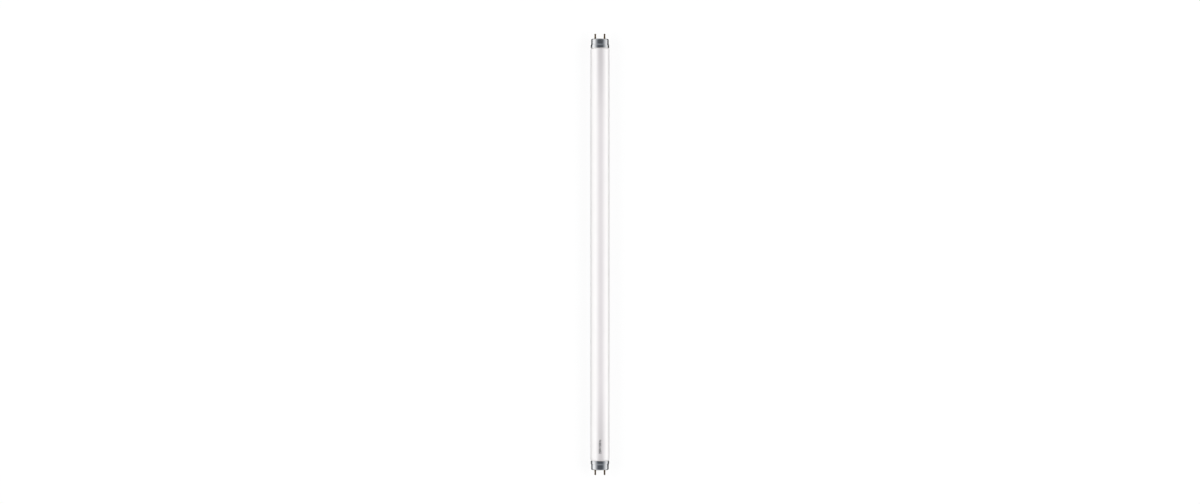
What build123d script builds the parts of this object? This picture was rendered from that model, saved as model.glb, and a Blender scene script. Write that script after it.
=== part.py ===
from build123d import *
import math
import os

# A straight tubular lamp, two feet long, with a two-pin cap on each end.
# It lies on its side: X runs across the two pins, Y along the tube, Z up.
# The origin is on the surface that it lies on, under the middle of the tube.
# Sizes are millimetres. "Depth" is measured from a cap's outer face towards
# the middle of the lamp, so what stands out of the cap has a negative depth.

# Driving dimensions of the whole lamp
TUBE_DIAMETER = 26.0
FACE_SPAN = 589.0
PIN_DIAMETER = 2.35
PIN_LENGTH = 7.1
PIN_SPACING = 12.7

# Cap shell, drawn from one sheet of aluminium
SHEET = 0.35
NARROW_RADIUS = 12.05
SKIRT_RADIUS = 12.7
SHELL_HEIGHT = 12.5
FACE_CORNER = 1.6
STEP_START = 6.9
STEP_END = 8.9
STEP_BEND = 1.2
WINDOW_RADIUS = 9.8
SHEET_EDGE = 0.1

# Insulating plate that closes the cap and carries the pins
PLATE_GAP = 0.1
PLATE_RECESS = 0.15
PLATE_BACK = 3.0
PIN_SEAT_RADIUS = 2.3
PIN_SEAT_DEPTH = 0.5
STEM_RADIUS = 1.0
STEM_GAP = 0.02
PLATE_EDGE = 0.2

# Contact pins, turned hollow and crimped on the lead wire
COLLAR_RADIUS = 1.9
COLLAR_THICKNESS = 0.35
TIP_ROUNDING = 0.7
TIP_WALL = 0.6
BORE_RADIUS = 0.6
CRIMP_FROM_TIP = 2.9
CRIMP_PUNCH_RADIUS = 1.6
CRIMP_DEPTH = 0.2
CRIMP_DENTS = 4

# Lead wires
WIRE_RADIUS = 0.4
WIRE_GAP = 0.02
WIRE_RECESS = 0.1

# Glass tube, necked at both ends, and the cement that holds the caps on it
NECK_RADIUS = 12.0
NECK_START = 9.4
NECK_EDGE = 0.8
SHOULDER_START = 13.1
SHOULDER_END = 14.2
SHOULDER_BEND = 0.7
CEMENT_START = 10.3
CEMENT_END = 12.8

# Where the seam line of the tube's turned surface lies, in degrees about the
# axis from the level of the pins
SEAM_TURN = 4.3

AXIS_HEIGHT = TUBE_DIAMETER / 2
PIN_RADIUS = PIN_DIAMETER / 2
CAP_ENDS = ("near", "far")
PIN_SIDES = {"left": -1, "right": 1}


def turned(points, radii):
    """A solid turned about Z from a closed outline of (radius, depth) points."""
    outline = FilletPolyline(*points, radius=radii, close=True)
    return revolve(Plane.XZ * make_face(outline), Axis.Z)


def cap_shell():
    """The aluminium cup: a lipped face, a narrow wall, a step and a wider skirt."""
    slope = math.atan2(SKIRT_RADIUS - NARROW_RADIUS, STEP_END - STEP_START)
    inner_shift = SHEET * math.tan(slope / 2)
    outside = [
        (WINDOW_RADIUS, 0),
        (NARROW_RADIUS, 0),
        (NARROW_RADIUS, STEP_START),
        (SKIRT_RADIUS, STEP_END),
        (SKIRT_RADIUS, SHELL_HEIGHT),
    ]
    outside_radii = [SHEET_EDGE, FACE_CORNER, STEP_BEND, STEP_BEND + SHEET, SHEET_EDGE]
    inside = [
        (SKIRT_RADIUS - SHEET, SHELL_HEIGHT),
        (SKIRT_RADIUS - SHEET, STEP_END + inner_shift),
        (NARROW_RADIUS - SHEET, STEP_START + inner_shift),
        (NARROW_RADIUS - SHEET, SHEET),
        (WINDOW_RADIUS, SHEET),
    ]
    inside_radii = [SHEET_EDGE, STEP_BEND, STEP_BEND + SHEET, FACE_CORNER - SHEET, SHEET_EDGE]
    return turned(outside + inside, outside_radii + inside_radii)


def pin_positions():
    """The places of the two pins on the cap's face, by side."""
    return {name: Pos(side * PIN_SPACING / 2, 0, 0) for name, side in PIN_SIDES.items()}


def pin_plate():
    """The insulating plate: a plug in the shell's window, on a wider rim behind it."""
    plug_radius = WINDOW_RADIUS - PLATE_GAP
    rim_radius = NARROW_RADIUS - SHEET
    points = [
        (0, PLATE_RECESS),
        (plug_radius, PLATE_RECESS),
        (plug_radius, SHEET),
        (rim_radius, SHEET),
        (rim_radius, PLATE_BACK),
        (0, PLATE_BACK),
    ]
    plate = turned(points, [0, SHEET_EDGE, 0, FACE_CORNER - SHEET, PLATE_EDGE, 0])
    seat = extrude(Circle(PIN_SEAT_RADIUS), PIN_SEAT_DEPTH)
    hole = extrude(Circle(STEM_RADIUS + STEM_GAP), PLATE_BACK)
    for place in pin_positions().values():
        plate -= place * (seat + hole)
    return plate


def contact_pin():
    """A hollow pin, staked through the plate by two collars and crimped near its tip."""
    tip = -PIN_LENGTH
    collar_front = PIN_SEAT_DEPTH - COLLAR_THICKNESS
    tail = PLATE_BACK + COLLAR_THICKNESS
    mouth_radius = WIRE_RADIUS + WIRE_GAP
    points = [
        (mouth_radius, tip),
        (PIN_RADIUS, tip),
        (PIN_RADIUS, collar_front),
        (COLLAR_RADIUS, collar_front),
        (COLLAR_RADIUS, PIN_SEAT_DEPTH),
        (STEM_RADIUS, PIN_SEAT_DEPTH),
        (STEM_RADIUS, PLATE_BACK),
        (COLLAR_RADIUS, PLATE_BACK),
        (COLLAR_RADIUS, tail),
        (BORE_RADIUS, tail),
        (BORE_RADIUS, tip + TIP_WALL),
        (mouth_radius, tip + TIP_WALL),
    ]
    radii = [0, TIP_ROUNDING, 0, SHEET_EDGE, 0, 0, 0, 0, SHEET_EDGE, 0, 0, 0]
    pin = turned(points, radii)
    punch_offset = PIN_RADIUS + CRIMP_PUNCH_RADIUS - CRIMP_DEPTH
    for turn in range(CRIMP_DENTS):
        angle = 360 * turn / CRIMP_DENTS
        pin -= Rot(0, 0, angle) * Pos(punch_offset, 0, tip + CRIMP_FROM_TIP) * Sphere(CRIMP_PUNCH_RADIUS)
    return pin


def lead_wire():
    """The wire that runs from the end of the sealed tube to the tip of a pin."""
    tip = -PIN_LENGTH + WIRE_RECESS
    return Pos(0, 0, tip) * extrude(Circle(WIRE_RADIUS), NECK_START - tip)


def cement_ring():
    """The ring of cement between the shell's skirt and the neck of the tube."""
    shell_inside = SKIRT_RADIUS - SHEET
    points = [
        (NECK_RADIUS, CEMENT_START),
        (shell_inside, CEMENT_START),
        (shell_inside, CEMENT_END),
        (NECK_RADIUS, CEMENT_END),
    ]
    return turned(points, [0, 0, SHEET_EDGE, 0])


def sealed_tube():
    """The opal glass tube, sealed with what it holds, as one solid about the Y axis."""
    tube_radius = TUBE_DIAMETER / 2
    far_half = [
        (0, FACE_SPAN / 2 - NECK_START),
        (NECK_RADIUS, FACE_SPAN / 2 - NECK_START),
        (NECK_RADIUS, FACE_SPAN / 2 - SHOULDER_START),
        (tube_radius, FACE_SPAN / 2 - SHOULDER_END),
    ]
    half_radii = [0, NECK_EDGE, SHOULDER_BEND, SHOULDER_BEND]
    near_half = [(radius, -distance) for radius, distance in reversed(far_half)]
    tube = turned(far_half + near_half, half_radii + half_radii[::-1])
    return Pos(0, 0, AXIS_HEIGHT) * Rot(-90, 0, 0) * Rot(0, 0, SEAM_TURN) * tube


def cap_planes():
    """The plane of each cap's face, with its depth direction into the lamp."""
    half = FACE_SPAN / 2
    near = Plane(origin=(0, -half, AXIS_HEIGHT), x_dir=(1, 0, 0), z_dir=(0, 1, 0))
    far = Plane(origin=(0, half, AXIS_HEIGHT), x_dir=(1, 0, 0), z_dir=(0, -1, 0))
    return dict(zip(CAP_ENDS, (near, far)))


def all_parts():
    """Every piece of the lamp where it belongs, by name."""
    parts = {"glass_tube": sealed_tube()}
    on_axis = {
        "cap_shell": cap_shell(),
        "pin_plate": pin_plate(),
        "cement_ring": cement_ring(),
    }
    on_pin = {"contact_pin": contact_pin(), "lead_wire": lead_wire()}
    for end, face in cap_planes().items():
        for name, piece in on_axis.items():
            parts[f"{name}_{end}"] = face.location * piece
        for side, place in pin_positions().items():
            for name, piece in on_pin.items():
                parts[f"{name}_{end}_{side}"] = face.location * place * piece
    return parts


os.makedirs("parts", exist_ok=True)
for node, piece in all_parts().items():
    export_step(piece, f"parts/{node}.step")
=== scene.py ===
"""Finishes a two-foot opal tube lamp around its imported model.

The lamp lies along Y on a pale floor, X runs across its pins and Z is up, in metres. "Depth" is
measured from a cap's outer face towards the middle of the lamp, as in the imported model, so what
stands out of a cap has a negative depth. The pieces with a turned form are rebuilt as fine, smooth
meshes that stand for their nodes. The plates and the wires keep their own.
"""

from __future__ import annotations

import logging
import math
from collections.abc import Callable, Sequence
from dataclasses import dataclass
from enum import Enum

import bpy
from mathutils import Matrix, Vector

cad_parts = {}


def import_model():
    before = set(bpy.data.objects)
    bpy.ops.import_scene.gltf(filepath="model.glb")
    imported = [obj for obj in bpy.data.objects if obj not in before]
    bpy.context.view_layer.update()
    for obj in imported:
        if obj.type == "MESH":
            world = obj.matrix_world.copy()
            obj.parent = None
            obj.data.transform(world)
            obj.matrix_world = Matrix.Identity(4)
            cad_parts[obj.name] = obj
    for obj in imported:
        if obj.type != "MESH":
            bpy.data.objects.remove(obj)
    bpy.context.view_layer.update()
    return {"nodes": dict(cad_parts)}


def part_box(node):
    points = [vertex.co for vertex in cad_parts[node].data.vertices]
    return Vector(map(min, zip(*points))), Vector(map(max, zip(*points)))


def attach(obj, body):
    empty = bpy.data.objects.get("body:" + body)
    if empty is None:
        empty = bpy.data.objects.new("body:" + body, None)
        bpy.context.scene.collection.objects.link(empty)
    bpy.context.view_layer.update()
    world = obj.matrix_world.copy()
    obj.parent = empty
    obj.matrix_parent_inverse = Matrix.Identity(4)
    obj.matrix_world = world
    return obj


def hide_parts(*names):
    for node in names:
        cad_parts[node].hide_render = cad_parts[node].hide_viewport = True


LOG = logging.getLogger("tube_lamp")
BODY = "root"

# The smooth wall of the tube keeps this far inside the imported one, so that it never reaches past it.
INSIDE = 1e-6

WORN = "worn"
UV_LAYER = "UVMap"

# Nearly all of a noise lies between these values.
NOISE_LOW = 0.3
NOISE_HIGH = 0.7

Colour = tuple[float, float, float, float]
Triple = tuple[float, float, float]
Node = bpy.types.Node
Socket = bpy.types.NodeSocket

SOCKET_KINDS = {
    float: "NodeSocketFloat",
    int: "NodeSocketInt",
    str: "NodeSocketString",
    Vector: "NodeSocketVector",
    bpy.types.Mesh: "NodeSocketGeometry",
    bpy.types.Material: "NodeSocketMaterial",
}


class Labelled(Enum):
    """A choice whose name is a word in the names of nodes and pieces."""

    @property
    def label(self) -> str:
        """The word."""
        return self.name.lower()


class End(Labelled):
    """The two ends of the lamp. The value is the sign that depth has along Y."""

    NEAR = 1
    FAR = -1


class Side(Labelled):
    """The two pins of a cap. The value is the sign of the pin's place along X."""

    LEFT = -1
    RIGHT = 1


@dataclass(frozen=True)
class LampFrame:
    """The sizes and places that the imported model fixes, in metres."""

    axis_height: float
    tube_radius: float
    tube_half_length: float
    face_distance: float
    shell_height: float
    skirt_radius: float
    pin_offset: float
    pin_length: float
    pin_tail: float
    collar_radius: float
    cement_radius: float
    cement_start: float
    cement_end: float

    @classmethod
    def from_model(cls) -> LampFrame:
        """Reads the sizes from the boxes of the nodes.

        Returns:
            The frame that every piece is built in.
        """
        tube_low, tube_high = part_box("glass_tube")
        shell_low, shell_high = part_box("cap_shell_near")
        pin_low, pin_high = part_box("contact_pin_near_right")
        ring_low, ring_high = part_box("cement_ring_near")
        axis_height = (pin_low.z + pin_high.z) / 2
        return cls(
            axis_height=axis_height,
            tube_radius=min(tube_high.x, tube_high.z - axis_height) - INSIDE,
            tube_half_length=tube_high.y,
            face_distance=-shell_low.y,
            shell_height=shell_high.y - shell_low.y,
            skirt_radius=(shell_high.x - shell_low.x) / 2,
            pin_offset=(pin_low.x + pin_high.x) / 2,
            pin_length=shell_low.y - pin_low.y,
            pin_tail=pin_high.y - shell_low.y,
            collar_radius=(pin_high.x - pin_low.x) / 2,
            cement_radius=(ring_high.x - ring_low.x) / 2,
            cement_start=ring_low.y - shell_low.y,
            cement_end=ring_high.y - shell_low.y,
        )

    def face_centre(self, end: End, across: float = 0.0) -> Vector:
        """A point on a cap's outer face, level with the axis and this far across from it."""
        return Vector((across, -end.value * self.face_distance, self.axis_height))


class NodeGraph:
    """Adds the nodes of one tree and links them."""

    def __init__(self, tree: bpy.types.NodeTree) -> None:
        """Empties the tree that the graph is to fill."""
        self.tree = tree
        self.tree.nodes.clear()

    def node(self, kind: str, inputs: dict[str | int, object] | None = None, **settings: object) -> Node:
        """Adds a node.

        Args:
            kind: The node's type.
            inputs: What goes into its sockets, by name or number: an output to link, or a plain value.
            **settings: Its properties, by name.

        Returns:
            The node.
        """
        made = self.tree.nodes.new(kind)
        for name, value in settings.items():
            setattr(made, name, value)
        for name, source in (inputs or {}).items():
            self.feed(made.inputs[name], source)
        return made

    def feed(self, socket: Socket, source: object) -> None:
        """Links a socket to an output, or gives it a plain value.

        Args:
            socket: The input to fill.
            source: An output to link from, or a value.
        """
        if isinstance(source, Socket):
            self.tree.links.new(source, socket)
        else:
            socket.default_value = source

    def math(self, operation: str, *values: object) -> Socket:
        """Does a sum with numbers, and gives its result."""
        return self.node("ShaderNodeMath", dict(enumerate(values)), operation=operation).outputs[0]

    def product(self, first: object, *others: object) -> Socket:
        """Multiplies numbers by one another, in order."""
        for other in others:
            first = self.math("MULTIPLY", first, other)
        return first

    def vector_math(self, operation: str, *values: object) -> Socket:
        """Does a sum with vectors, and gives the resulting vector."""
        return self.node("ShaderNodeVectorMath", dict(enumerate(values)), operation=operation).outputs[0]

    def vector(self, *values: object) -> Socket:
        """Joins three numbers to a vector."""
        return self.node("ShaderNodeCombineXYZ", dict(enumerate(values))).outputs[0]

    def split(self, source: Socket) -> tuple[Socket, ...]:
        """Splits a vector into its three numbers."""
        return tuple(self.node("ShaderNodeSeparateXYZ", {0: source}).outputs)

    def blend(self, share: object, first: object, second: object) -> Socket:
        """Mixes two colours, where the share says how much of the second there is."""
        return self.node("ShaderNodeMix", {0: share, 6: first, 7: second}, data_type="RGBA").outputs[2]

    def ramp(
        self,
        source: Socket,
        start: object,
        end: object,
        low: object = 0.0,
        high: object = 1.0,
        smooth: bool = False,
    ) -> Socket:
        """Maps a value from one range to another, held at the ends.

        Args:
            source: The value.
            start: The value that gives low.
            end: The value that gives high.
            low: The result at start.
            high: The result at end.
            smooth: Whether the result eases in and out.

        Returns:
            The mapped value.
        """
        shape = "SMOOTHSTEP" if smooth else "LINEAR"
        values = dict(enumerate((source, start, end, low, high)))
        return self.node("ShaderNodeMapRange", values, interpolation_type=shape).outputs["Result"]

    def noise(self, place: object, scale: object, detail: float, sharpness: float = 0.5) -> Socket:
        """Adds a noise pattern.

        Args:
            place: The coordinates it is read at.
            scale: How many features fit in a metre.
            detail: How many finer layers are added.
            sharpness: How strong the finer layers are.

        Returns:
            The pattern's value, about 0.5 on average.
        """
        inputs = {"Vector": place, "Scale": scale, "Detail": detail, "Roughness": sharpness}
        return self.node("ShaderNodeTexNoise", inputs).outputs[0]


class GroupGraph(NodeGraph):
    """The graph of a node group, with its own inputs at hand."""

    def __init__(self, tree: bpy.types.NodeTree, inputs: dict[str, type], outputs: dict[str, type]) -> None:
        """Makes the group's sockets.

        Args:
            tree: The group's tree.
            inputs: The kind of each value that the group takes in, by name.
            outputs: The kind of each value that it puts out, by name.
        """
        super().__init__(tree)
        for in_out, kinds in (("INPUT", inputs), ("OUTPUT", outputs)):
            for name, kind in kinds.items():
                tree.interface.new_socket(name=name, in_out=in_out, socket_type=SOCKET_KINDS[kind])
        self.entry = self.node("NodeGroupInput").outputs

    def step(
        self, kind: str, source: object, inputs: dict[str, object] | None = None, **settings: object
    ) -> Socket:
        """Adds a node that works on what goes into its first socket.

        Args:
            kind: The node's type.
            source: What goes into the first socket.
            inputs: What goes into the others, by name.
            **settings: The node's properties, by name.

        Returns:
            The node's first output.
        """
        return self.node(kind, {0: source, **(inputs or {})}, **settings).outputs[0]


class SharedEffect:
    """A shader node group that several finishes use, built once and placed with each one's values."""

    name: str
    inputs: dict[str, type]
    output: str

    def group(self) -> bpy.types.NodeTree:
        """Builds the group, or finds it if it is there already.

        Returns:
            The group's tree.
        """
        if self.name in bpy.data.node_groups:
            return bpy.data.node_groups[self.name]
        tree = bpy.data.node_groups.new(self.name, "ShaderNodeTree")
        graph = GroupGraph(tree, self.inputs, {self.output: float})
        graph.node("NodeGroupOutput", {self.output: self.pattern(graph)})
        return tree

    def pattern(self, graph: GroupGraph) -> Socket:
        """Builds the effect itself. Each kind of effect has its own."""
        raise NotImplementedError

    def place(self, graph: NodeGraph, **values: object) -> Socket:
        """Places the group in a material.

        Args:
            graph: The material's graph.
            **values: The group's inputs, by name, with _ for a space.

        Returns:
            The output of the placed group.
        """
        inputs = {name.replace("_", " "): value for name, value in values.items()}
        return graph.node("ShaderNodeGroup", inputs, node_tree=self.group()).outputs[0]


class DrawLines(SharedEffect):
    """Long fine lines, as drawing or turning leaves them in metal and glass."""

    name = "draw_lines"
    inputs = {"Place": Vector, "Lines per Metre": Vector, "Breaks": float}
    output = "Lines"
    sharpness = 0.65
    groove = 0.32
    ridge = 0.68
    breaks_per_line = 0.23
    broken_from = 0.35
    broken_to = 0.65

    def pattern(self, graph: GroupGraph) -> Socket:
        """Stretches a noise along the lines and breaks it up with a second one.

        Args:
            graph: The group's graph.

        Returns:
            The lines, from 0 in a groove to 1 on a ridge.
        """
        stretched = graph.vector_math("MULTIPLY", graph.entry["Place"], graph.entry["Lines per Metre"])
        fine = graph.noise(stretched, 1.0, 4.0, self.sharpness)
        lines = graph.ramp(fine, self.groove, self.ridge)
        coarse = graph.noise(stretched, self.breaks_per_line, 2.0)
        broken = graph.ramp(coarse, self.broken_from, self.broken_to)
        faded = graph.product(broken, graph.entry["Breaks"])
        return graph.product(lines, graph.math("SUBTRACT", 1.0, faded))


class HandlingMarks(SharedEffect):
    """Smudges and dull patches that handling leaves."""

    name = "handling_marks"
    inputs = {"Place": Vector, "Patches per Metre": float, "Coverage": float}
    output = "Marks"
    sharpness = 0.55
    bare_edge = 0.72
    covered_shift = 0.4
    softness = 0.2
    grains_per_patch = 9.0
    grain_sharpness = 0.7
    faintest = 0.45

    def pattern(self, graph: GroupGraph) -> Socket:
        """Cuts soft patches out of a noise and grains them with a finer one.

        Args:
            graph: The group's graph.

        Returns:
            The marks, from 0 where the surface is clean to 1 where it is dull.
        """
        place = graph.entry["Place"]
        scale = graph.entry["Patches per Metre"]
        shift = graph.product(graph.entry["Coverage"], self.covered_shift)
        edge = graph.math("SUBTRACT", self.bare_edge, shift)
        end = graph.math("ADD", edge, self.softness)
        soft = graph.ramp(graph.noise(place, scale, 3.0, self.sharpness), edge, end, smooth=True)
        finer = graph.product(scale, self.grains_per_patch)
        grain = graph.noise(place, finer, 3.0, self.grain_sharpness)
        return graph.product(soft, graph.ramp(grain, NOISE_LOW, NOISE_HIGH, self.faintest, 1.0))


class WornEdge(SharedEffect):
    """Wear along the edges of a piece, from the attribute that its outline carries."""

    name = "worn_edge"
    inputs = {"Edge": float, "Place": Vector, "Chips per Metre": float}
    output = "Wear"
    sharpness = 0.6
    chipped_from = 0.38
    chipped_to = 0.6

    def pattern(self, graph: GroupGraph) -> Socket:
        """Breaks the edge mask up with a noise.

        Args:
            graph: The group's graph.

        Returns:
            The wear, 1 where the edge is rubbed bright.
        """
        edge = graph.entry["Edge"]
        chips = graph.noise(graph.entry["Place"], graph.entry["Chips per Metre"], 4.0, self.sharpness)
        return graph.product(edge, edge, graph.ramp(chips, self.chipped_from, self.chipped_to))


DRAW_LINES = DrawLines()
HANDLING_MARKS = HandlingMarks()
WORN_EDGE = WornEdge()


class SurfaceGraph(NodeGraph):
    """The graph of one material, round its Principled shader."""

    def __init__(self, material: bpy.types.Material) -> None:
        """Starts the material with its shader and the piece's own coordinates, in metres.

        Args:
            material: The material to fill.
        """
        material.use_nodes = True
        super().__init__(material.node_tree)
        self.shader = self.node("ShaderNodeBsdfPrincipled")
        self.place = self.node("ShaderNodeTexCoord").outputs["Object"]
        self.node("ShaderNodeOutputMaterial", {"Surface": self.shader.outputs[0]})

    def dress(self, **inputs: object) -> None:
        """Fills the shader's sockets, named with _ for a space."""
        for name, source in inputs.items():
            self.feed(self.shader.inputs[name.replace("_", " ")], source)

    def lines(self, per_metre: Triple, breaks: float) -> Socket:
        """Fine lines, from 0 in a groove to 1 on a ridge."""
        return DRAW_LINES.place(self, Place=self.place, Lines_per_Metre=per_metre, Breaks=breaks)

    def marks(self, per_metre: float, coverage: float) -> Socket:
        """Handling marks, from 0 where the surface is clean to 1 where it is dull."""
        return HANDLING_MARKS.place(self, Place=self.place, Patches_per_Metre=per_metre, Coverage=coverage)

    def wear(self, per_metre: float) -> Socket:
        """Wear on the corners that the outline marks as worn, with so many chips to the metre."""
        edge = self.node("ShaderNodeAttribute", attribute_name=WORN).outputs["Fac"]
        return WORN_EDGE.place(self, Edge=edge, Place=self.place, Chips_per_Metre=per_metre)

    def grain(
        self,
        per_metre: float,
        detail: float,
        sharpness: float = 0.5,
        start: float = NOISE_LOW,
        end: float = NOISE_HIGH,
    ) -> Socket:
        """Spots of a noise on the surface.

        Args:
            per_metre: How many fit in a metre.
            detail: How many finer layers the noise has.
            sharpness: How strong the finer layers are.
            start: The noise's value that gives 0.
            end: The noise's value that gives 1.

        Returns:
            The spots, from 0 to 1.
        """
        return self.ramp(self.noise(self.place, per_metre, detail, sharpness), start, end)

    def relief(self, height: Socket, depth: float) -> Socket:
        """Turns a height from 0 to 1 into a bumped normal, where the depth is the full height in metres."""
        inputs = {"Strength": 1.0, "Distance": depth, "Height": height}
        return self.node("ShaderNodeBump", inputs).outputs["Normal"]


@dataclass(frozen=True)
class Finish:
    """What every finish has: a name, the record's slot and a material built once."""

    name: str
    slot: str

    def material(self) -> bpy.types.Material:
        """Builds the material, or finds it if it is there already.

        Returns:
            The material.
        """
        if self.name in bpy.data.materials:
            return bpy.data.materials[self.name]
        made = bpy.data.materials.new(self.name)
        self.dress(SurfaceGraph(made))
        return made

    def dress(self, surface: SurfaceGraph) -> None:
        """Fills the shader's inputs. Each finish has its own."""
        raise NotImplementedError


@dataclass(frozen=True)
class OpalGlass(Finish):
    """Clear glass over a white powder coat on its inside, with painted shade along its top over the light
    strip, deeper near the caps.
    """

    name: str = "powdered_glass"
    slot: str = "opal_glass"
    powder: Colour = (0.95, 0.925, 0.913, 1.0)
    thin_powder: Colour = (0.92, 0.894, 0.884, 1.0)
    # Painted shade: the top of the tube over the light strip is painted darker than the powder.
    strip_painted_shade: Colour = (0.712, 0.675, 0.678, 1.0)
    # Painted shade: darker still near the caps, where it lies over the strip.
    ends_painted_shade: Colour = (0.52, 0.494, 0.498, 1.0)
    powder_per_metre: float = 1400.0
    powder_share: float = 0.35
    clouds_per_metre: float = 45.0
    clouds_share: float = 0.45
    draw_lines: Triple = (160.0, 4.0, 160.0)
    wave_height: float = 4e-6
    marks_per_metre: float = 38.0
    gloss: float = 0.36
    dulling: float = 0.14
    glass_ior: float = 1.5
    coat_gloss: float = 0.08
    coat_ior: float = 1.7
    # Where the painted shade lies: across the top of the tube over the light strip, deeper towards the
    # caps.
    axis_height: float = 0.013
    strip_offset: float = 0.0014
    strip_core: float = 0.0005
    strip_fade: float = 0.0078
    upper_height: float = 0.0169
    ends_shade_share: float = 0.7
    ends_from: float = 0.165
    ends_to: float = 0.29

    def dress(self, surface: SurfaceGraph) -> None:
        """Mottles the powder, paints shade on it along the top over the strip and deeper at the ends, and
        waves the glass a little.

        Args:
            surface: The material's graph.
        """
        grain = surface.grain(self.powder_per_metre, 3.0, 0.6)
        clouds = surface.grain(self.clouds_per_metre, 3.0, start=0.35)
        lines = surface.lines(self.draw_lines, breaks=0.5)
        marks = surface.marks(self.marks_per_metre, coverage=0.35)
        cloudy = surface.product(clouds, self.clouds_share)
        mottle = surface.math("MULTIPLY_ADD", grain, self.powder_share, cloudy)
        coat = surface.blend(mottle, self.powder, self.thin_powder)
        # Painted shade: the coat is darkened over the strip on the top of the tube.
        strip, ends = self._shades(surface)
        strip_shaded_coat = surface.blend(strip, coat, self.strip_painted_shade)
        # Painted shade: darker still over the strip near the caps.
        ends_shade_amount = surface.product(strip, self.ends_shade_share, ends)
        surface.dress(
            Base_Color=surface.blend(ends_shade_amount, strip_shaded_coat, self.ends_painted_shade),
            Roughness=surface.math("MULTIPLY_ADD", marks, self.dulling, self.gloss),
            Normal=surface.relief(lines, self.wave_height),
            IOR=self.glass_ior,
            Coat_Weight=1.0,
            Coat_Roughness=self.coat_gloss,
            Coat_IOR=self.coat_ior,
        )

    def _shades(self, surface: SurfaceGraph) -> tuple[Socket, Socket]:
        """Masks the painted shade on the top of the glass over the light strip, and the stretch at each end
        of the lamp where it is painted darker.

        Args:
            surface: The material's graph.

        Returns:
            The painted shade's mask over the strip and its mask at the ends, each from 0 to 1.
        """
        across, along, up = surface.split(surface.place)
        aside = surface.math("ABSOLUTE", surface.math("SUBTRACT", across, self.strip_offset))
        over = surface.ramp(aside, self.strip_core, self.strip_fade, 1.0, 0.0, smooth=True)
        upper = surface.ramp(up, self.axis_height, self.upper_height, smooth=True)
        ends = surface.ramp(surface.math("ABSOLUTE", along), self.ends_from, self.ends_to, smooth=True)
        return surface.product(over, upper), ends


@dataclass(frozen=True)
class DrawnAluminium(Finish):
    """Bright aluminium sheet with draw lines, rubbed edges and dull patches."""

    name: str = "bright_aluminium"
    slot: str = "drawn_aluminium"
    sheet: Colour = (0.76, 0.77, 0.785, 1.0)
    dull: Colour = (0.62, 0.628, 0.64, 1.0)
    rubbed: Colour = (0.88, 0.88, 0.88, 1.0)
    draw_lines: Triple = (2600.0, 60.0, 2600.0)
    line_height: float = 2.5e-6
    marks_per_metre: float = 160.0
    marks_share: float = 0.7
    chips_per_metre: float = 900.0
    gloss: float = 0.14
    dulling: float = 0.1
    line_dulling: float = 0.09
    wear_polish: float = 0.06

    def dress(self, surface: SurfaceGraph) -> None:
        """Runs fine lines along the cap, and brightens its worn edges.

        Args:
            surface: The material's graph.
        """
        lines = surface.lines(self.draw_lines, breaks=0.6)
        marks = surface.marks(self.marks_per_metre, coverage=0.5)
        wear = surface.wear(self.chips_per_metre)
        used = surface.blend(surface.product(marks, self.marks_share), self.sheet, self.dull)
        marked = surface.math("MULTIPLY_ADD", marks, self.dulling, self.gloss)
        lined = surface.math("MULTIPLY_ADD", lines, self.line_dulling, marked)
        surface.dress(
            Base_Color=surface.blend(wear, used, self.rubbed),
            Roughness=surface.math("SUBTRACT", lined, surface.product(wear, self.wear_polish)),
            Normal=surface.relief(lines, self.line_height),
            Metallic=1.0,
        )


@dataclass(frozen=True)
class TarnishedBrass(Finish):
    """Brass with fine turning rings, browned by the air and rubbed at the tips."""

    name: str = "tarnished_brass"
    slot: str = "pin_brass"
    brass: Colour = (0.3, 0.185, 0.07, 1.0)
    brown: Colour = (0.13, 0.076, 0.032, 1.0)
    rubbed: Colour = (0.5, 0.34, 0.15, 1.0)
    turned_rings: Triple = (120.0, 9000.0, 120.0)
    ring_height: float = 3e-6
    marks_per_metre: float = 420.0
    chips_per_metre: float = 2400.0
    gloss: float = 0.15
    dulling: float = 0.16

    def dress(self, surface: SurfaceGraph) -> None:
        """Rings the pin along its length, and browns it in patches.

        Args:
            surface: The material's graph.
        """
        marks = surface.marks(self.marks_per_metre, coverage=0.85)
        aged = surface.blend(marks, self.brass, self.brown)
        surface.dress(
            Base_Color=surface.blend(surface.wear(self.chips_per_metre), aged, self.rubbed),
            Roughness=surface.math("MULTIPLY_ADD", marks, self.dulling, self.gloss),
            Normal=surface.relief(surface.lines(self.turned_rings, breaks=0.4), self.ring_height),
            Metallic=1.0,
        )


@dataclass(frozen=True)
class MouldedPlastic(Finish):
    """Dark moulded plate with a fine mould grain."""

    name: str = "moulded_plastic"
    slot: str = "insulating_plastic"
    moulded: Colour = (0.052, 0.052, 0.056, 1.0)
    scuffed: Colour = (0.11, 0.11, 0.112, 1.0)
    grain_per_metre: float = 6500.0
    grain_height: float = 8e-6
    marks_per_metre: float = 260.0
    gloss: float = 0.42
    dulling: float = 0.12

    def dress(self, surface: SurfaceGraph) -> None:
        """Grains the plate and scuffs it lightly.

        Args:
            surface: The material's graph.
        """
        marks = surface.marks(self.marks_per_metre, coverage=0.45)
        grain = surface.grain(self.grain_per_metre, 2.0, 0.6)
        surface.dress(
            Base_Color=surface.blend(marks, self.moulded, self.scuffed),
            Roughness=surface.math("MULTIPLY_ADD", grain, self.dulling, self.gloss),
            Normal=surface.relief(grain, self.grain_height),
        )


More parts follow.
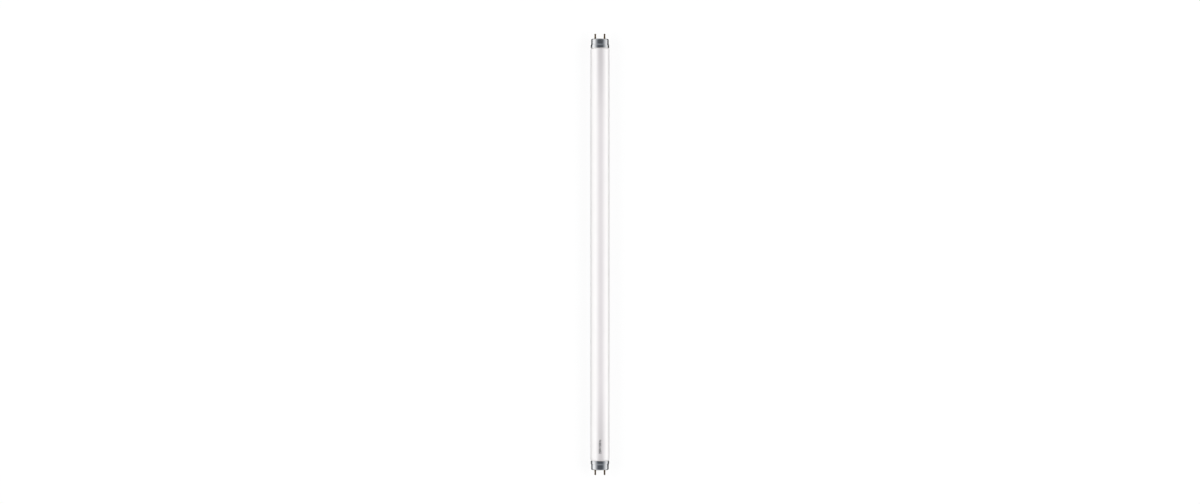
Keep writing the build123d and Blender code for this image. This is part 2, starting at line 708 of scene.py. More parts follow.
@dataclass(frozen=True)
class CapCement(Finish):
    """Matt cement with a sandy grain."""

    name: str = "sandy_cement"
    slot: str = "cap_cement"
    pale: Colour = (0.56, 0.54, 0.49, 1.0)
    dark: Colour = (0.38, 0.355, 0.31, 1.0)
    sand_per_metre: float = 5200.0
    sand_share: float = 0.5
    sand_height: float = 4e-5
    stains_per_metre: float = 480.0
    stains_from: float = 0.4
    stains_share: float = 0.4
    gloss: float = 0.82
    dulling: float = 0.1

    def dress(self, surface: SurfaceGraph) -> None:
        """Speckles the cement and roughens it.

        Args:
            surface: The material's graph.
        """
        sand = surface.grain(self.sand_per_metre, 4.0, 0.7)
        stains = surface.grain(self.stains_per_metre, 2.0, start=self.stains_from)
        stained = surface.product(stains, self.stains_share)
        speckle = surface.math("MULTIPLY_ADD", sand, self.sand_share, stained)
        surface.dress(
            Base_Color=surface.blend(speckle, self.pale, self.dark),
            Roughness=surface.math("MULTIPLY_ADD", sand, self.dulling, self.gloss),
            Normal=surface.relief(sand, self.sand_height),
        )


@dataclass(frozen=True)
class TinnedWire(Finish):
    """Copper wire under a dull coat of tin."""

    name: str = "tinned_copper"
    slot: str = "tinned_wire"
    tin: Colour = (0.66, 0.65, 0.63, 1.0)
    copper: Colour = (0.62, 0.37, 0.24, 1.0)
    draw_lines: Triple = (9000.0, 300.0, 9000.0)
    line_height: float = 3e-6
    bare_per_metre: float = 900.0
    bare_from: float = 0.5
    bare_to: float = 0.62
    bare_share: float = 0.6
    gloss: float = 0.3
    dulling: float = 0.15

    def dress(self, surface: SurfaceGraph) -> None:
        """Lets the copper show through in patches.

        Args:
            surface: The material's graph.
        """
        lines = surface.lines(self.draw_lines, breaks=0.3)
        bare = surface.grain(self.bare_per_metre, 3.0, start=self.bare_from, end=self.bare_to)
        surface.dress(
            Base_Color=surface.blend(surface.product(bare, self.bare_share), self.tin, self.copper),
            Roughness=surface.math("MULTIPLY_ADD", lines, self.dulling, self.gloss),
            Normal=surface.relief(lines, self.line_height),
            Metallic=1.0,
        )


@dataclass(frozen=True)
class GreyInk(Finish):
    """Dark grey ink, stamped on the glass and thin in places."""

    name: str = "grey_ink"
    slot: str = "opal_glass"
    full: Colour = (0.022, 0.022, 0.024, 1.0)
    thin: Colour = (0.07, 0.069, 0.072, 1.0)
    speckles_per_metre: float = 3200.0
    thin_from: float = 0.45
    gloss: float = 0.4
    dulling: float = 0.15

    def dress(self, surface: SurfaceGraph) -> None:
        """Thins the ink in speckles.

        Args:
            surface: The material's graph.
        """
        speckle = surface.grain(self.speckles_per_metre, 3.0, 0.7, start=self.thin_from)
        surface.dress(
            Base_Color=surface.blend(speckle, self.full, self.thin),
            Roughness=surface.math("MULTIPLY_ADD", speckle, self.dulling, self.gloss),
        )


@dataclass(frozen=True)
class OutlinePoint:
    """A point of an outline that is turned about an axis. A corner that is to be rounded is one too."""

    radius: float
    depth: float
    rounding: float = 0.0
    worn: float = 0.0

    @property
    def place(self) -> Vector:
        """The point in the outline's plane."""
        return Vector((self.radius, self.depth))


@dataclass(frozen=True)
class Outline:
    """The section of a turned piece. Its outer wall runs towards greater depth."""

    corners: tuple[OutlinePoint, ...]
    closed: bool
    arc_steps: int = 8
    support: float = 0.0004

    def points(self) -> list[OutlinePoint]:
        """Rounds the corners, and sets a point beside each end of the longer straights.

        Returns:
            The points in order. A closed outline ends on its first point.
        """
        arcs = [self._arc(index) for index in range(len(self.corners))]
        if self.closed:
            arcs.append(arcs[0][:1])
        points = list(arcs[0])
        for arc in arcs[1:]:
            points.extend(self._supports(points[-1], arc[0]))
            points.extend(arc)
        return points

    def _arc(self, index: int) -> list[OutlinePoint]:
        """Rounds one corner.

        Args:
            index: The corner's place in the outline.

        Returns:
            The points of its arc, or the corner alone where it is sharp or an open end.
        """
        corner = self.corners[index]
        is_end = not self.closed and index in (0, len(self.corners) - 1)
        if corner.rounding == 0.0 or is_end:
            return [corner]
        here = corner.place
        back = (self.corners[index - 1].place - here).normalized()
        forth = (self.corners[(index + 1) % len(self.corners)].place - here).normalized()
        half = back.angle(forth) / 2
        centre = here + (back + forth).normalized() * (corner.rounding / math.sin(half))
        start = here + back * (corner.rounding / math.tan(half)) - centre
        end = here + forth * (corner.rounding / math.tan(half)) - centre
        turn = end.angle_signed(start)
        arc = []
        for step in range(self.arc_steps + 1):
            share = step / self.arc_steps
            cos = math.cos(turn * share)
            sin = math.sin(turn * share)
            spoke = Vector((start.x * cos - start.y * sin, start.x * sin + start.y * cos))
            point = centre + spoke
            arc.append(OutlinePoint(point.x, point.y, worn=corner.worn * math.sin(math.pi * share)))
        return arc

    def _supports(self, start: OutlinePoint, end: OutlinePoint) -> list[OutlinePoint]:
        """Sets a point near each end of a straight, so that its shading stays level.

        Args:
            start: The straight's first point.
            end: Its last point.

        Returns:
            The points between, none on a short straight.
        """
        run = Vector((end.radius - start.radius, end.depth - start.depth))
        if run.length < 3 * self.support:
            return []
        step = run.normalized() * self.support
        return [
            OutlinePoint(start.radius + step.x, start.depth + step.y),
            OutlinePoint(end.radius - step.x, end.depth - step.y),
        ]

    def mesh(self, name: str) -> bpy.types.Mesh:
        """Writes the outline as a string of edges, radius along X and depth along Z.

        Args:
            name: The mesh's name.

        Returns:
            The mesh, with the wear on its points.
        """
        points = self.points()
        made = bpy.data.meshes.new(name)
        edges = [(index, index + 1) for index in range(len(points) - 1)]
        made.from_pydata([(point.radius, 0.0, point.depth) for point in points], edges, [])
        worn = made.attributes.new(WORN, "FLOAT", "POINT")
        worn.data.foreach_set("value", [point.worn for point in points])
        return made


class ShapeTree:
    """A Geometry Nodes tree that shapes one kind of piece, built once and used by several."""

    name: str
    inputs: dict[str, type]
    usual: dict[str, object] = {}

    def tree(self) -> bpy.types.NodeTree:
        """Builds the tree, or finds it if it is there already.

        Returns:
            The tree.
        """
        if self.name in bpy.data.node_groups:
            return bpy.data.node_groups[self.name]
        made = bpy.data.node_groups.new(self.name, "GeometryNodeTree")
        geometry = {"Geometry": bpy.types.Mesh}
        graph = GroupGraph(made, {**geometry, **self.inputs, "Finish": bpy.types.Material}, geometry)
        smooth = graph.step("GeometryNodeSetShadeSmooth", self.shape(graph))
        real = graph.step("GeometryNodeRealizeInstances", smooth)
        finished = graph.step("GeometryNodeSetMaterial", real, {"Material": graph.entry["Finish"]})
        graph.node("NodeGroupOutput", {"Geometry": finished})
        return made

    def shape(self, graph: GroupGraph) -> Socket:
        """Builds the shape. Each kind of tree has its own."""
        raise NotImplementedError

    def piece(
        self, name: str, mesh: bpy.types.Mesh, finish: Finish, nodes: Sequence[str] = (), **values: object
    ) -> None:
        """Makes a piece with the tree, as a plain mesh that rides on the lamp.

        Args:
            name: The piece's name.
            mesh: What the tree starts from.
            finish: The finish that it is given.
            nodes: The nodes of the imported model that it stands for.
            **values: The tree's inputs, by name, with _ for a space.
        """
        made = bpy.data.objects.new(name, mesh)
        bpy.context.scene.collection.objects.link(made)
        modifier = made.modifiers.new(self.name, "NODES")
        modifier.node_group = self.tree()
        given = {label.replace("_", " "): value for label, value in values.items()}
        given = {**self.usual, **given, "Finish": finish.material()}
        for socket in modifier.node_group.interface.items_tree:
            if socket.in_out == "INPUT" and socket.name in given:
                modifier[socket.identifier] = given[socket.name]
        bpy.context.view_layer.update()
        graph = bpy.context.evaluated_depsgraph_get()
        settled = bpy.data.meshes.new_from_object(
            made.evaluated_get(graph), preserve_all_data_layers=True, depsgraph=graph
        )
        settled.materials.clear()
        settled.materials.append(finish.material())
        made.modifiers.clear()
        made.data = settled
        settled.name = name
        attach(made, BODY)
        if nodes:
            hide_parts(*nodes)
        LOG.info("%s: %d faces, %s", name, len(settled.polygons), finish.name)


class TurnedTree(ShapeTree):
    """Turns an outline about its axis, dents its wall and makes its back edge uneven where asked."""

    name = "turned_piece"
    inputs = {
        "Around": int,
        "Inward": float,
        "Face": Vector,
        "Dents": float,
        "Dent Size": float,
        "Dent Depth": float,
        "Dent Reach": float,
        "Dented Radius": float,
        "Uneven From": float,
        "Uneven By": float,
    }
    # A reach that is safe to divide by, and a depth that no piece has, so that a wall stays round and
    # an edge straight where nothing else is asked.
    usual = {"Dent Reach": 1.0, "Uneven From": 1.0}
    seam_gap = 1e-6
    jaw_from = -0.6
    between_jaws = 0.25
    waves_round = 4.5

    def shape(self, graph: GroupGraph) -> Socket:
        """Lays a grid over the outline and wraps it round the axis.

        Args:
            graph: The tree's graph.

        Returns:
            A closed mesh with a map of its own.
        """
        outline = {"Geometry": graph.entry["Geometry"]}
        size = graph.node("GeometryNodeAttributeDomainSize", outline, component="MESH").outputs
        points = size["Point Count"]
        rows = graph.math("ADD", graph.entry["Around"], 1.0)
        sizes = {"Size X": 1.0, "Size Y": 1.0, "Vertices X": points, "Vertices Y": rows}
        grid = graph.node("GeometryNodeMeshGrid", sizes).outputs
        across, along, _ = graph.split(graph.node("GeometryNodeInputPosition").outputs[0])
        last = graph.math("SUBTRACT", points, 1.0)
        index = graph.math("ROUND", graph.product(graph.math("ADD", across, 0.5), last))
        angle = graph.product(graph.math("ADD", along, 0.5), math.tau)

        position = graph.node("GeometryNodeInputPosition").outputs[0]
        worn = graph.node("GeometryNodeInputNamedAttribute", {"Name": WORN}, data_type="FLOAT").outputs[0]
        radius, _, depth = graph.split(self._sample(graph, "FLOAT_VECTOR", position, index))
        radius = graph.math("SUBTRACT", radius, self._dent(graph, radius, depth, angle))
        depth = graph.math("SUBTRACT", depth, self._unevenness(graph, depth, angle))
        turned = graph.product(graph.entry["Inward"], -1.0)
        wrapped = graph.vector(
            graph.product(radius, graph.math("COSINE", angle)),
            graph.product(depth, graph.entry["Inward"]),
            graph.product(radius, graph.math("SINE", angle), turned),
        )
        stored = grid["Mesh"]
        for domain, kind, name, value in (
            ("CORNER", "FLOAT2", UV_LAYER, grid["UV Map"]),
            ("POINT", "FLOAT", WORN, self._sample(graph, "FLOAT", worn, index)),
        ):
            inputs = {"Name": name, "Value": value}
            store = "GeometryNodeStoreNamedAttribute"
            stored = graph.step(store, stored, inputs, domain=domain, data_type=kind)
        placed = {"Position": graph.vector_math("ADD", wrapped, graph.entry["Face"])}
        moved = graph.step("GeometryNodeSetPosition", stored, placed)
        merged = graph.step("GeometryNodeMergeByDistance", moved, {"Distance": self.seam_gap})
        return graph.step("GeometryNodeFlipFaces", merged)

    @staticmethod
    def _sample(graph: GroupGraph, kind: str, value: Socket, index: Socket) -> Socket:
        """Reads a value from one point of the outline.

        Args:
            graph: The tree's graph.
            kind: The value's data type.
            value: The value to read.
            index: The point's place in the outline.

        Returns:
            The value at that point.
        """
        inputs = {"Value": value, "Index": index}
        points = {"data_type": kind, "domain": "POINT"}
        return graph.step("GeometryNodeSampleIndex", graph.entry["Geometry"], inputs, **points)

    def _dent(self, graph: GroupGraph, radius: Socket, depth: Socket, angle: Socket) -> Socket:
        """Works out how far a crimping tool's evenly spaced jaws press the outer wall in.

        Args:
            graph: The tree's graph.
            radius: The point's radius.
            depth: The point's depth.
            angle: The point's angle round the axis.

        Returns:
            The distance that the wall is pressed in.
        """
        entry = graph.entry
        offset = graph.math("SUBTRACT", depth, entry["Dent Depth"])
        offset = graph.math("DIVIDE", offset, entry["Dent Reach"])
        along = graph.math("SUBTRACT", 1.0, graph.product(offset, offset))
        along = graph.ramp(along, 0.0, 1.0, smooth=True)
        lobe = graph.math("COSINE", graph.product(angle, entry["Dents"]))
        lobe = graph.ramp(lobe, self.jaw_from, 1.0, self.between_jaws, 1.0, smooth=True)
        on_wall = graph.math("GREATER_THAN", radius, entry["Dented Radius"])
        return graph.product(along, lobe, entry["Dent Size"], on_wall)

    def _unevenness(self, graph: GroupGraph, depth: Socket, angle: Socket) -> Socket:
        """Works out how far a squeezed-out edge stays back, round the axis.

        Args:
            graph: The tree's graph.
            depth: The point's depth.
            angle: The point's angle round the axis.

        Returns:
            The distance that the edge stays back.
        """
        ring = graph.vector(graph.math("COSINE", angle), graph.math("SINE", angle), graph.entry["Inward"])
        waves = graph.ramp(graph.noise(ring, self.waves_round, 4.0, 0.6), NOISE_LOW, NOISE_HIGH)
        beyond = graph.math("GREATER_THAN", depth, graph.entry["Uneven From"])
        return graph.product(waves, graph.entry["Uneven By"], beyond)


class PrintTree(ShapeTree):
    """Sets a line of type and wraps it round a tube as a thin closed layer of ink."""

    name = "printed_line"
    inputs = {
        "Words": str,
        "Type Size": float,
        "Letter Spacing": float,
        "Boldness": float,
        "Start": Vector,
        "Aside": float,
        "Inner Radius": float,
        "Layer": float,
    }
    seam_gap = 1e-7
    cuts = 3
    curve_steps = 5

    def shape(self, graph: GroupGraph) -> Socket:
        """Fills the letters, cuts them fine, gives them a thickness and bends them round the tube.

        Args:
            graph: The tree's graph.

        Returns:
            The letters as closed meshes that read along Y, with their tops towards -X.
        """
        entry = graph.entry
        setting = {"Size": entry["Type Size"], "Character Spacing": entry["Letter Spacing"]}
        aligned = {"align_x": "LEFT", "align_y": "MIDDLE"}
        words = graph.step("GeometryNodeStringToCurves", entry["Words"], setting, **aligned)
        filled = graph.step("GeometryNodeFillCurve", self._bold(graph, words))
        cut = graph.step("GeometryNodeSubdivideMesh", filled, {"Level": self.cuts})
        lift = {"Offset": (0.0, 0.0, 1.0), "Offset Scale": entry["Layer"], "Individual": False}
        raised = graph.step("GeometryNodeExtrudeMesh", cut, lift, mode="FACES")
        both = graph.node("GeometryNodeJoinGeometry")
        for half in (raised, graph.step("GeometryNodeFlipFaces", cut)):
            graph.feed(both.inputs[0], half)
        closed = graph.step("GeometryNodeMergeByDistance", both.outputs[0], {"Distance": self.seam_gap})

        along, up, out = graph.split(graph.node("GeometryNodeInputPosition").outputs[0])
        radius = graph.math("ADD", entry["Inner Radius"], out)
        angle = graph.math("DIVIDE", graph.math("SUBTRACT", up, entry["Aside"]), entry["Inner Radius"])
        bent = graph.vector(
            graph.product(radius, graph.math("SINE", angle), -1.0),
            along,
            graph.product(radius, graph.math("COSINE", angle)),
        )
        placed = {"Position": graph.vector_math("ADD", bent, entry["Start"])}
        return graph.step("GeometryNodeSetPosition", closed, placed)

    def _bold(self, graph: GroupGraph, words: Socket) -> Socket:
        """Moves the outlines of the letters apart, so that their strokes are heavier.

        Args:
            graph: The tree's graph.
            words: The letters, as instances.

        Returns:
            The heavier outlines, as straight runs.
        """
        letters = graph.step("GeometryNodeRealizeInstances", words)
        finer = graph.step("GeometryNodeSetSplineResolution", letters, {"Resolution": self.curve_steps})
        straight = graph.step("GeometryNodeResampleCurve", finer, mode="EVALUATED")
        tangent = graph.node("GeometryNodeInputTangent").outputs[0]
        aside = graph.vector_math("CROSS_PRODUCT", tangent, (0.0, 0.0, 1.0))
        scale = {"Scale": graph.entry["Boldness"]}
        shift = graph.step("ShaderNodeVectorMath", aside, scale, operation="SCALE")
        return graph.step("GeometryNodeSetPosition", straight, {"Offset": shift})


TURNED = TurnedTree()
PRINTED = PrintTree()


@dataclass
class GlassTube:
    """The sealed opal tube, necked at both ends, and the line printed on it."""

    frame: LampFrame
    neck_radius: float = 0.012
    neck_edge: float = 0.0008
    shoulder_start: float = 0.0131
    shoulder_end: float = 0.0142
    shoulder_bend: float = 0.0007
    around: int = 192
    words: str = "220V/50Hz"
    words_from_face: float = 0.0225
    words_aside: float = 0.0003
    type_size: float = 0.0044
    letter_spacing: float = 0.97
    boldness: float = 0.00012
    ink_layer: float = 0.00003
    ink_sunk: float = 0.0000075
    glass: Finish = OpalGlass()
    ink: Finish = GreyInk()

    def outline(self) -> Outline:
        """The tube's section, from one end to the other, about the middle of the lamp.

        Returns:
            An open outline that starts and ends on the axis.
        """
        face = self.frame.face_distance
        half = (
            OutlinePoint(0.0, self.frame.tube_half_length),
            OutlinePoint(self.neck_radius, self.frame.tube_half_length, self.neck_edge),
            OutlinePoint(self.neck_radius, face - self.shoulder_start, self.shoulder_bend),
            OutlinePoint(self.frame.tube_radius, face - self.shoulder_end, self.shoulder_bend),
        )
        near = tuple(OutlinePoint(corner.radius, -corner.depth, corner.rounding) for corner in half)
        return Outline(near + half[::-1], closed=False, support=0.001)

    def build(self) -> None:
        """Makes the tube and its printed line."""
        TURNED.piece(
            "opal_tube",
            self.outline().mesh("opal_tube_outline"),
            self.glass,
            ("glass_tube",),
            Around=self.around,
            Inward=1.0,
            Face=Vector((0.0, 0.0, self.frame.axis_height)),
        )
        PRINTED.piece(
            "printed_rating",
            bpy.data.meshes.new("printed_rating_start"),
            self.ink,
            Words=self.words,
            Type_Size=self.type_size,
            Letter_Spacing=self.letter_spacing,
            Boldness=self.boldness,
            Start=self.frame.face_centre(End.NEAR) + Vector((0.0, self.words_from_face, 0.0)),
            Aside=self.words_aside,
            Inner_Radius=self.frame.tube_radius - self.ink_sunk,
            Layer=self.ink_layer,
        )


@dataclass
class ContactPin:
    """One hollow pin with a collar on each side of its plate and a crimp below its tip."""

    frame: LampFrame
    end: End
    side: Side
    radius: float = 0.001175
    stem_radius: float = 0.001
    bore_radius: float = 0.0006
    mouth_radius: float = 0.00042
    tip_rounding: float = 0.0007
    tip_wall: float = 0.0006
    collar_thickness: float = 0.00035
    seat_depth: float = 0.0005
    edge: float = 0.0001
    fine_edge: float = 0.00004
    crimp_from_tip: float = 0.0029
    crimp_reach: float = 0.0009
    crimp_size: float = 0.0002
    crimp_dents: int = 4
    crimp_rows: int = 18
    around: int = 72
    brass: Finish = TarnishedBrass()

    def outline(self) -> Outline:
        """The pin's section, from the mouth of its tip round to its bore.

        Returns:
            A closed outline, with rows of points where the crimp goes.
        """
        tip = -self.frame.pin_length
        crimp = tip + self.crimp_from_tip
        back = self.frame.pin_tail - self.collar_thickness
        rows = tuple(
            OutlinePoint(self.radius, crimp + self.crimp_reach * (2 * row / self.crimp_rows - 1))
            for row in range(self.crimp_rows + 1)
        )
        collar = self.frame.collar_radius
        corners = (
            OutlinePoint(self.mouth_radius, tip, self.edge, 1.0),
            OutlinePoint(self.radius, tip, self.tip_rounding, 1.0),
            *rows,
            OutlinePoint(self.radius, self.seat_depth - self.collar_thickness, self.fine_edge),
            OutlinePoint(collar, self.seat_depth - self.collar_thickness, self.edge, 1.0),
            OutlinePoint(collar, self.seat_depth, self.fine_edge),
            OutlinePoint(self.stem_radius, self.seat_depth),
            OutlinePoint(self.stem_radius, back),
            OutlinePoint(collar, back, self.fine_edge),
            OutlinePoint(collar, self.frame.pin_tail, self.edge),
            OutlinePoint(self.bore_radius, self.frame.pin_tail, self.fine_edge),
            OutlinePoint(self.bore_radius, tip + self.tip_wall),
            OutlinePoint(self.mouth_radius, tip + self.tip_wall),
        )
        return Outline(corners, closed=True, arc_steps=6, support=0.00015)

    def build(self) -> None:
        """Makes the pin where its node is."""
        place = f"{self.end.label}_{self.side.label}"
        TURNED.piece(
            f"brass_pin_{place}",
            self.outline().mesh(f"contact_pin_{place}_outline"),
            self.brass,
            (f"contact_pin_{place}",),
            Around=self.around,
            Inward=float(self.end.value),
            Face=self.frame.face_centre(self.end, self.side.value * self.frame.pin_offset),
            Dents=float(self.crimp_dents),
            Dent_Size=self.crimp_size,
            Dent_Depth=-self.frame.pin_length + self.crimp_from_tip,
            Dent_Reach=self.crimp_reach,
            Dented_Radius=self.radius - self.edge / 2,
        )


@dataclass
class EndCap:
    """One cap: the drawn shell, the cement behind it, the plate that closes it, its pins and wires."""

    frame: LampFrame
    end: End
    sheet: float = 0.00035
    narrow_radius: float = 0.01205
    window_radius: float = 0.0098
    face_corner: float = 0.0016
    step_start: float = 0.0069
    step_end: float = 0.0089
    step_bend: float = 0.0012
    sheet_edge: float = 0.0001
    neck_radius: float = 0.012
    cement_bead: float = 0.00025
    cement_unevenness: float = 0.0002
    around: int = 192
    aluminium: Finish = DrawnAluminium()
    cement: Finish = CapCement()
    plastic: Finish = MouldedPlastic()
    wire: Finish = TinnedWire()

    def shell_outline(self) -> Outline:
        """The shell's section: a lipped face, a narrow wall, a step and a wider skirt.

        Returns:
            A closed outline of the sheet.
        """
        skirt = self.frame.skirt_radius
        back = self.frame.shell_height
        slope = math.atan2(skirt - self.narrow_radius, self.step_end - self.step_start)
        shift = self.sheet * math.tan(slope / 2)
        inner_skirt = skirt - self.sheet
        inner_wall = self.narrow_radius - self.sheet
        corners = (
            OutlinePoint(self.window_radius, 0.0, self.sheet_edge, 1.0),
            OutlinePoint(self.narrow_radius, 0.0, self.face_corner, 0.3),
            OutlinePoint(self.narrow_radius, self.step_start, self.step_bend),
            OutlinePoint(skirt, self.step_end, self.step_bend + self.sheet, 0.6),
            OutlinePoint(skirt, back, self.sheet_edge, 1.0),
            OutlinePoint(inner_skirt, back, self.sheet_edge, 1.0),
            OutlinePoint(inner_skirt, self.step_end + shift, self.step_bend),
            OutlinePoint(inner_wall, self.step_start + shift, self.step_bend + self.sheet),
            OutlinePoint(inner_wall, self.sheet, self.face_corner - self.sheet),
            OutlinePoint(self.window_radius, self.sheet, self.sheet_edge),
        )
        return Outline(corners, closed=True)

    def cement_outline(self) -> Outline:
        """The cement's section, between the skirt and the neck of the tube.

        Returns:
            A closed outline whose back edge is a bead.
        """
        frame = self.frame
        corners = (
            OutlinePoint(self.neck_radius, frame.cement_start),
            OutlinePoint(frame.cement_radius, frame.cement_start),
            OutlinePoint(frame.cement_radius, frame.cement_end, self.cement_bead / 2),
            OutlinePoint(self.neck_radius, frame.cement_end, self.cement_bead / 2),
        )
        return Outline(corners, closed=True, arc_steps=5)

    def build(self) -> None:
        """Makes the shell, the cement and the pins."""
        label = self.end.label
        turn = {
            "Around": self.around,
            "Inward": float(self.end.value),
            "Face": self.frame.face_centre(self.end),
        }
        shell = self.shell_outline().mesh(f"cap_shell_{label}_outline")
        TURNED.piece(f"aluminium_cap_{label}", shell, self.aluminium, (f"cap_shell_{label}",), **turn)
        TURNED.piece(
            f"cement_bead_{label}",
            self.cement_outline().mesh(f"cement_ring_{label}_outline"),
            self.cement,
            (f"cement_ring_{label}",),
            Uneven_From=(self.frame.cement_start + self.frame.cement_end) / 2,
            Uneven_By=self.cement_unevenness,
            **turn,
        )
        for side in Side:
            ContactPin(self.frame, self.end, side).build()

    def dress_nodes(self, nodes: dict[str, bpy.types.Object]) -> None:
        """Gives the plate and the wires, which keep their own shape, their finishes.

        Args:
            nodes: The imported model's nodes by name.
        """
        finishes = {f"pin_plate_{self.end.label}": self.plastic}
        finishes.update({f"lead_wire_{self.end.label}_{side.label}": self.wire for side in Side})
        for name, finish in finishes.items():
            mesh = nodes[name].data
            mesh.materials.clear()
            mesh.materials.append(finish.material())
            LOG.info("%s: its own shape, %s", name, finish.name)


@dataclass(frozen=True)
class SkyBand:
    """A stretch of sky over which the light changes, in degrees from overhead, and the level it reaches."""

    start: float
    end: float
    level: float


@dataclass
class Studio:
    """The pale floor, the soft light and the camera that looks straight down on the lamp."""

    frame: LampFrame
    image_width: int = 1200
    image_height: int = 504
    lamp_column: float = 599.9
    lamp_row: float = 254.4
    metres_per_pixel: float = 0.0013672
    camera_distance: float = 5.0
    sensor_width: float = 36.0
    floor_half: float = 12.0
    floor_colour: Colour = (0.42, 0.42, 0.42, 1.0)
    floor_grain_colour: Colour = (0.4116, 0.4116, 0.4116, 1.0)
    floor_grain_per_metre: float = 300.0
    background_share: float = 0.8
    background_level: float = 1.14
    card_hole: tuple[float, float] = (0.0165, 0.296)
    card_hole_aside: float = -0.002
    card_half: tuple[float, float] = (0.056, 0.9)
    card_height: float = 0.0002
    card_colour: Colour = (0.08, 0.08, 0.08, 1.0)
    overhead_level: float = 0.1
    overhead_tint: Colour = (0.9, 0.97, 1.08, 1.0)
    untinted_level: float = 0.7
    left_sky: SkyBand = SkyBand(18.0, 100.0, 1.36)
    right_sky: SkyBand = SkyBand(28.0, 100.0, 0.98)
    side_blend: float = 0.25
    end_sky: SkyBand = SkyBand(14.0, 33.0, 0.25)
    end_fade: SkyBand = SkyBand(42.0, 58.0, 0.15)
    skyline: SkyBand = SkyBand(77.0, 90.0, 0.85)
    lamp_distance: float = 3.2
    lamp_zenith: float = 45.0
    lamp_length: float = 2.6
    lamp_width: float = 1.2
    left_power: float = 63.0
    right_power: float = 82.0

    def build(self) -> None:
        """Makes the whole studio."""
        self._camera()
        floor = self._rectangle(self.floor_half, self.floor_half)
        self._sheet("floor", floor, [(0, 1, 2, 3)], self._floor_paint)
        self._shade_card()
        for side in Side:
            self._soft_lamp(side)
        self._sky()
        bpy.context.scene.view_settings.view_transform = "Standard"
        LOG.info("studio: camera, floor, shade card, two soft lamps and a soft sky")

    def _camera(self) -> None:
        """Sets the camera over the lamp so that the lamp falls where the photograph has it."""
        data = bpy.data.cameras.new("camera")
        data.sensor_width = self.sensor_width
        data.lens = self.sensor_width * self.camera_distance / (self.image_width * self.metres_per_pixel)
        data.clip_end = 4 * self.floor_half
        made = bpy.data.objects.new("camera", data)
        made.location = (
            (self.image_width / 2 - self.lamp_column) * self.metres_per_pixel,
            (self.lamp_row - self.image_height / 2) * self.metres_per_pixel,
            self.frame.axis_height + self.camera_distance,
        )
        bpy.context.scene.collection.objects.link(made)
        bpy.context.scene.camera = made

    @staticmethod
    def _rectangle(
        half_width: float, half_length: float, aside: float = 0.0, height: float = 0.0
    ) -> list[Triple]:
        """The corners of a level rectangle, counterclockwise from above.

        Args:
            half_width: Its half size along X.
            half_length: Its half size along Y.
            aside: How far its middle lies along X.
            height: Its height.

        Returns:
            The four corners.
        """
        signs = ((-1, -1), (1, -1), (1, 1), (-1, 1))
        return [(half_width * across + aside, half_length * along, height) for across, along in signs]

    @staticmethod
    def _sheet(
        name: str,
        corners: Sequence[Triple],
        faces: Sequence[tuple[int, ...]],
        paint: Callable[[NodeGraph], Socket],
    ) -> bpy.types.Object:
        """Lays a level sheet.

        Args:
            name: The sheet's name.
            corners: Its corners.
            faces: Its faces, by their corners.
            paint: Makes its shader in the graph of its material.

        Returns:
            The sheet, marked as part of the stage.
        """
        material = bpy.data.materials.new(name)
        material.use_nodes = True
        graph = NodeGraph(material.node_tree)
        graph.node("ShaderNodeOutputMaterial", {"Surface": paint(graph)})
        mesh = bpy.data.meshes.new(name)
        mesh.from_pydata(corners, [], faces)
        mesh.materials.append(material)
        made = bpy.data.objects.new(name, mesh)
        bpy.context.scene.collection.objects.link(made)
        return made

    def _floor_paint(self, graph: NodeGraph) -> Socket:
        """Paints the floor pale. What looks at it sees mostly its white, with a soft shadow left in.

        Args:
            graph: The material's graph.

        Returns:
            The floor's shader.
        """
        place = graph.node("ShaderNodeTexCoord").outputs["Object"]
        paper = graph.ramp(graph.noise(place, self.floor_grain_per_metre, 3.0), NOISE_LOW, NOISE_HIGH)
        colour = graph.blend(paper, self.floor_colour, self.floor_grain_colour)
        matt = graph.node("ShaderNodeBsdfDiffuse", {"Color": colour})
        glow = graph.node("ShaderNodeEmission", {"Strength": self.background_level})
        rays = graph.node("ShaderNodeLightPath").outputs
        seen = graph.math("MAXIMUM", rays["Is Camera Ray"], rays["Is Glossy Ray"])
        seen = graph.math("MAXIMUM", seen, rays["Is Transmission Ray"])
        share = graph.product(seen, self.background_share)
        mixed = graph.node("ShaderNodeMixShader", {0: share, 1: matt.outputs[0], 2: glow.outputs[0]})
        return mixed.outputs[0]

    def _card_paint(self, graph: NodeGraph) -> Socket:
        """Paints the upper side of the card dark, and leaves its underside clear.

        Args:
            graph: The material's graph.

        Returns:
            The card's shader.
        """
        behind = graph.node("ShaderNodeNewGeometry").outputs["Backfacing"]
        matt = graph.node("ShaderNodeBsdfDiffuse", {"Color": self.card_colour}).outputs[0]
        clear = graph.node("ShaderNodeBsdfTransparent").outputs[0]
        return graph.node("ShaderNodeMixShader", {0: behind, 1: matt, 2: clear}).outputs[0]

    def _shade_card(self) -> None:
        """Lays a dark card round the lamp that only reflections see, and that darkens its rims."""
        corners = self._rectangle(*self.card_hole, self.card_hole_aside, self.card_height)
        corners += self._rectangle(*self.card_half, height=self.card_height)
        faces = [(index, index + 4, (index + 1) % 4 + 4, (index + 1) % 4) for index in range(4)]
        card = self._sheet("shade_card", corners, faces, self._card_paint)
        card.visible_camera = False
        card.visible_diffuse = False
        card.visible_transmission = False
        card.visible_shadow = False

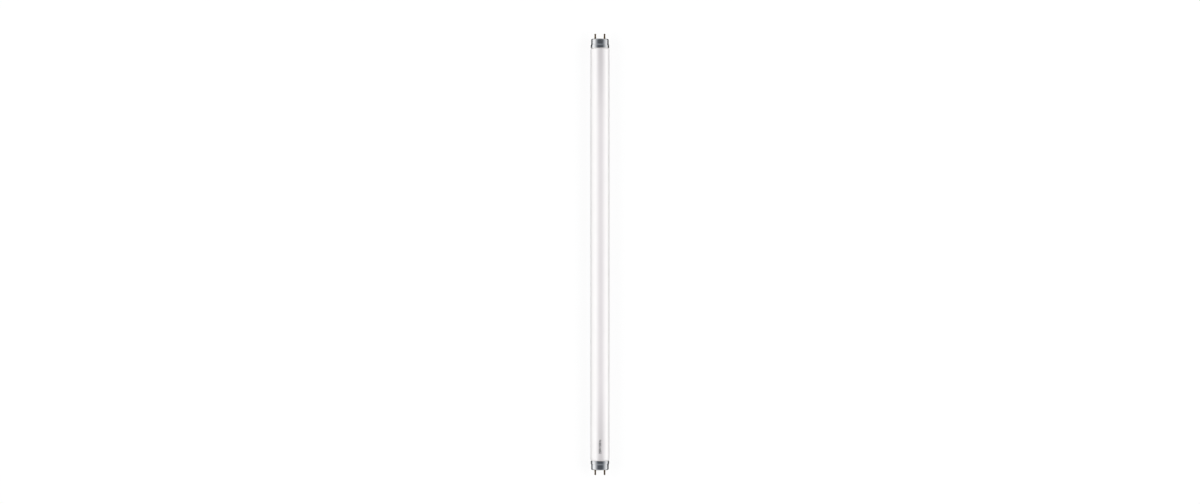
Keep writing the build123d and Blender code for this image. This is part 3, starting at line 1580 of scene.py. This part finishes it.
    def _soft_lamp(self, side: Side) -> None:
        """Hangs a large soft lamp beside the camera, kept out of the reflections.

        Args:
            side: The side of the camera that the lamp hangs on.
        """
        data = bpy.data.lights.new(f"soft_lamp_{side.label}", "AREA")
        data.shape = "RECTANGLE"
        data.size = self.lamp_width
        data.size_y = self.lamp_length
        data.energy = self.left_power if side is Side.LEFT else self.right_power
        made = bpy.data.objects.new(data.name, data)
        lean = math.radians(self.lamp_zenith)
        away = Vector((side.value * math.sin(lean), 0.0, math.cos(lean)))
        along = Vector((0.0, 1.0, 0.0))
        made.location = away * self.lamp_distance + Vector((0.0, 0.0, self.frame.axis_height))
        made.rotation_euler = Matrix((along.cross(away), along, away)).transposed().to_euler()
        made.visible_glossy = False
        bpy.context.scene.collection.objects.link(made)

    def _sky(self) -> None:
        """Makes the room's soft light: dim and cool overhead, bright low down, brightest on the left."""
        world = bpy.data.worlds.new("soft_room")
        world.use_nodes = True
        bpy.context.scene.world = world
        graph = NodeGraph(world.node_tree)
        across, along, up = graph.split(graph.node("ShaderNodeTexCoord").outputs["Generated"])
        zenith = graph.math("DEGREES", graph.math("ARCCOSINE", up))
        left = self._band(graph, zenith, self.left_sky, self.overhead_level)
        right = self._band(graph, zenith, self.right_sky, self.overhead_level)
        lit = self._band(graph, zenith, self.end_sky, self.overhead_level)
        ends = graph.math("SUBTRACT", lit, self._band(graph, zenith, self.end_fade))
        ends = graph.math("ADD", ends, self._band(graph, zenith, self.skyline))
        to_right = graph.ramp(across, -self.side_blend, self.side_blend, smooth=True)
        sides = graph.math("MULTIPLY_ADD", graph.math("SUBTRACT", right, left), to_right, left)
        # The square of how level the direction is, kept a little over 0 because it divides.
        level_share = graph.math("MULTIPLY_ADD", up, graph.product(up, -1.0), 1.0001)
        towards_ends = graph.math("DIVIDE", graph.product(along, along), level_share)
        level = graph.math("MULTIPLY_ADD", graph.math("SUBTRACT", ends, sides), towards_ends, sides)
        low_down = graph.ramp(level, self.overhead_level, self.untinted_level)
        tint = graph.blend(low_down, self.overhead_tint, (1.0, 1.0, 1.0, 1.0))
        sky = graph.node("ShaderNodeBackground", {"Strength": level, "Color": tint})
        graph.node("ShaderNodeOutputWorld", {"Surface": sky.outputs[0]})

    @staticmethod
    def _band(graph: NodeGraph, zenith: Socket, band: SkyBand, low: float = 0.0) -> Socket:
        """Raises the light over one stretch of the sky, from this low level to the band's own."""
        return graph.ramp(zenith, band.start, band.end, low, band.level, smooth=True)


def main() -> None:
    """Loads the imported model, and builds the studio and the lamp."""
    logging.basicConfig(level=logging.INFO, format="%(name)s: %(message)s")
    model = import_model()
    frame = LampFrame.from_model()
    Studio(frame).build()
    GlassTube(frame).build()
    for end in End:
        cap = EndCap(frame, end)
        cap.build()
        cap.dress_nodes(model["nodes"])


if __name__ == "__main__":
    main()
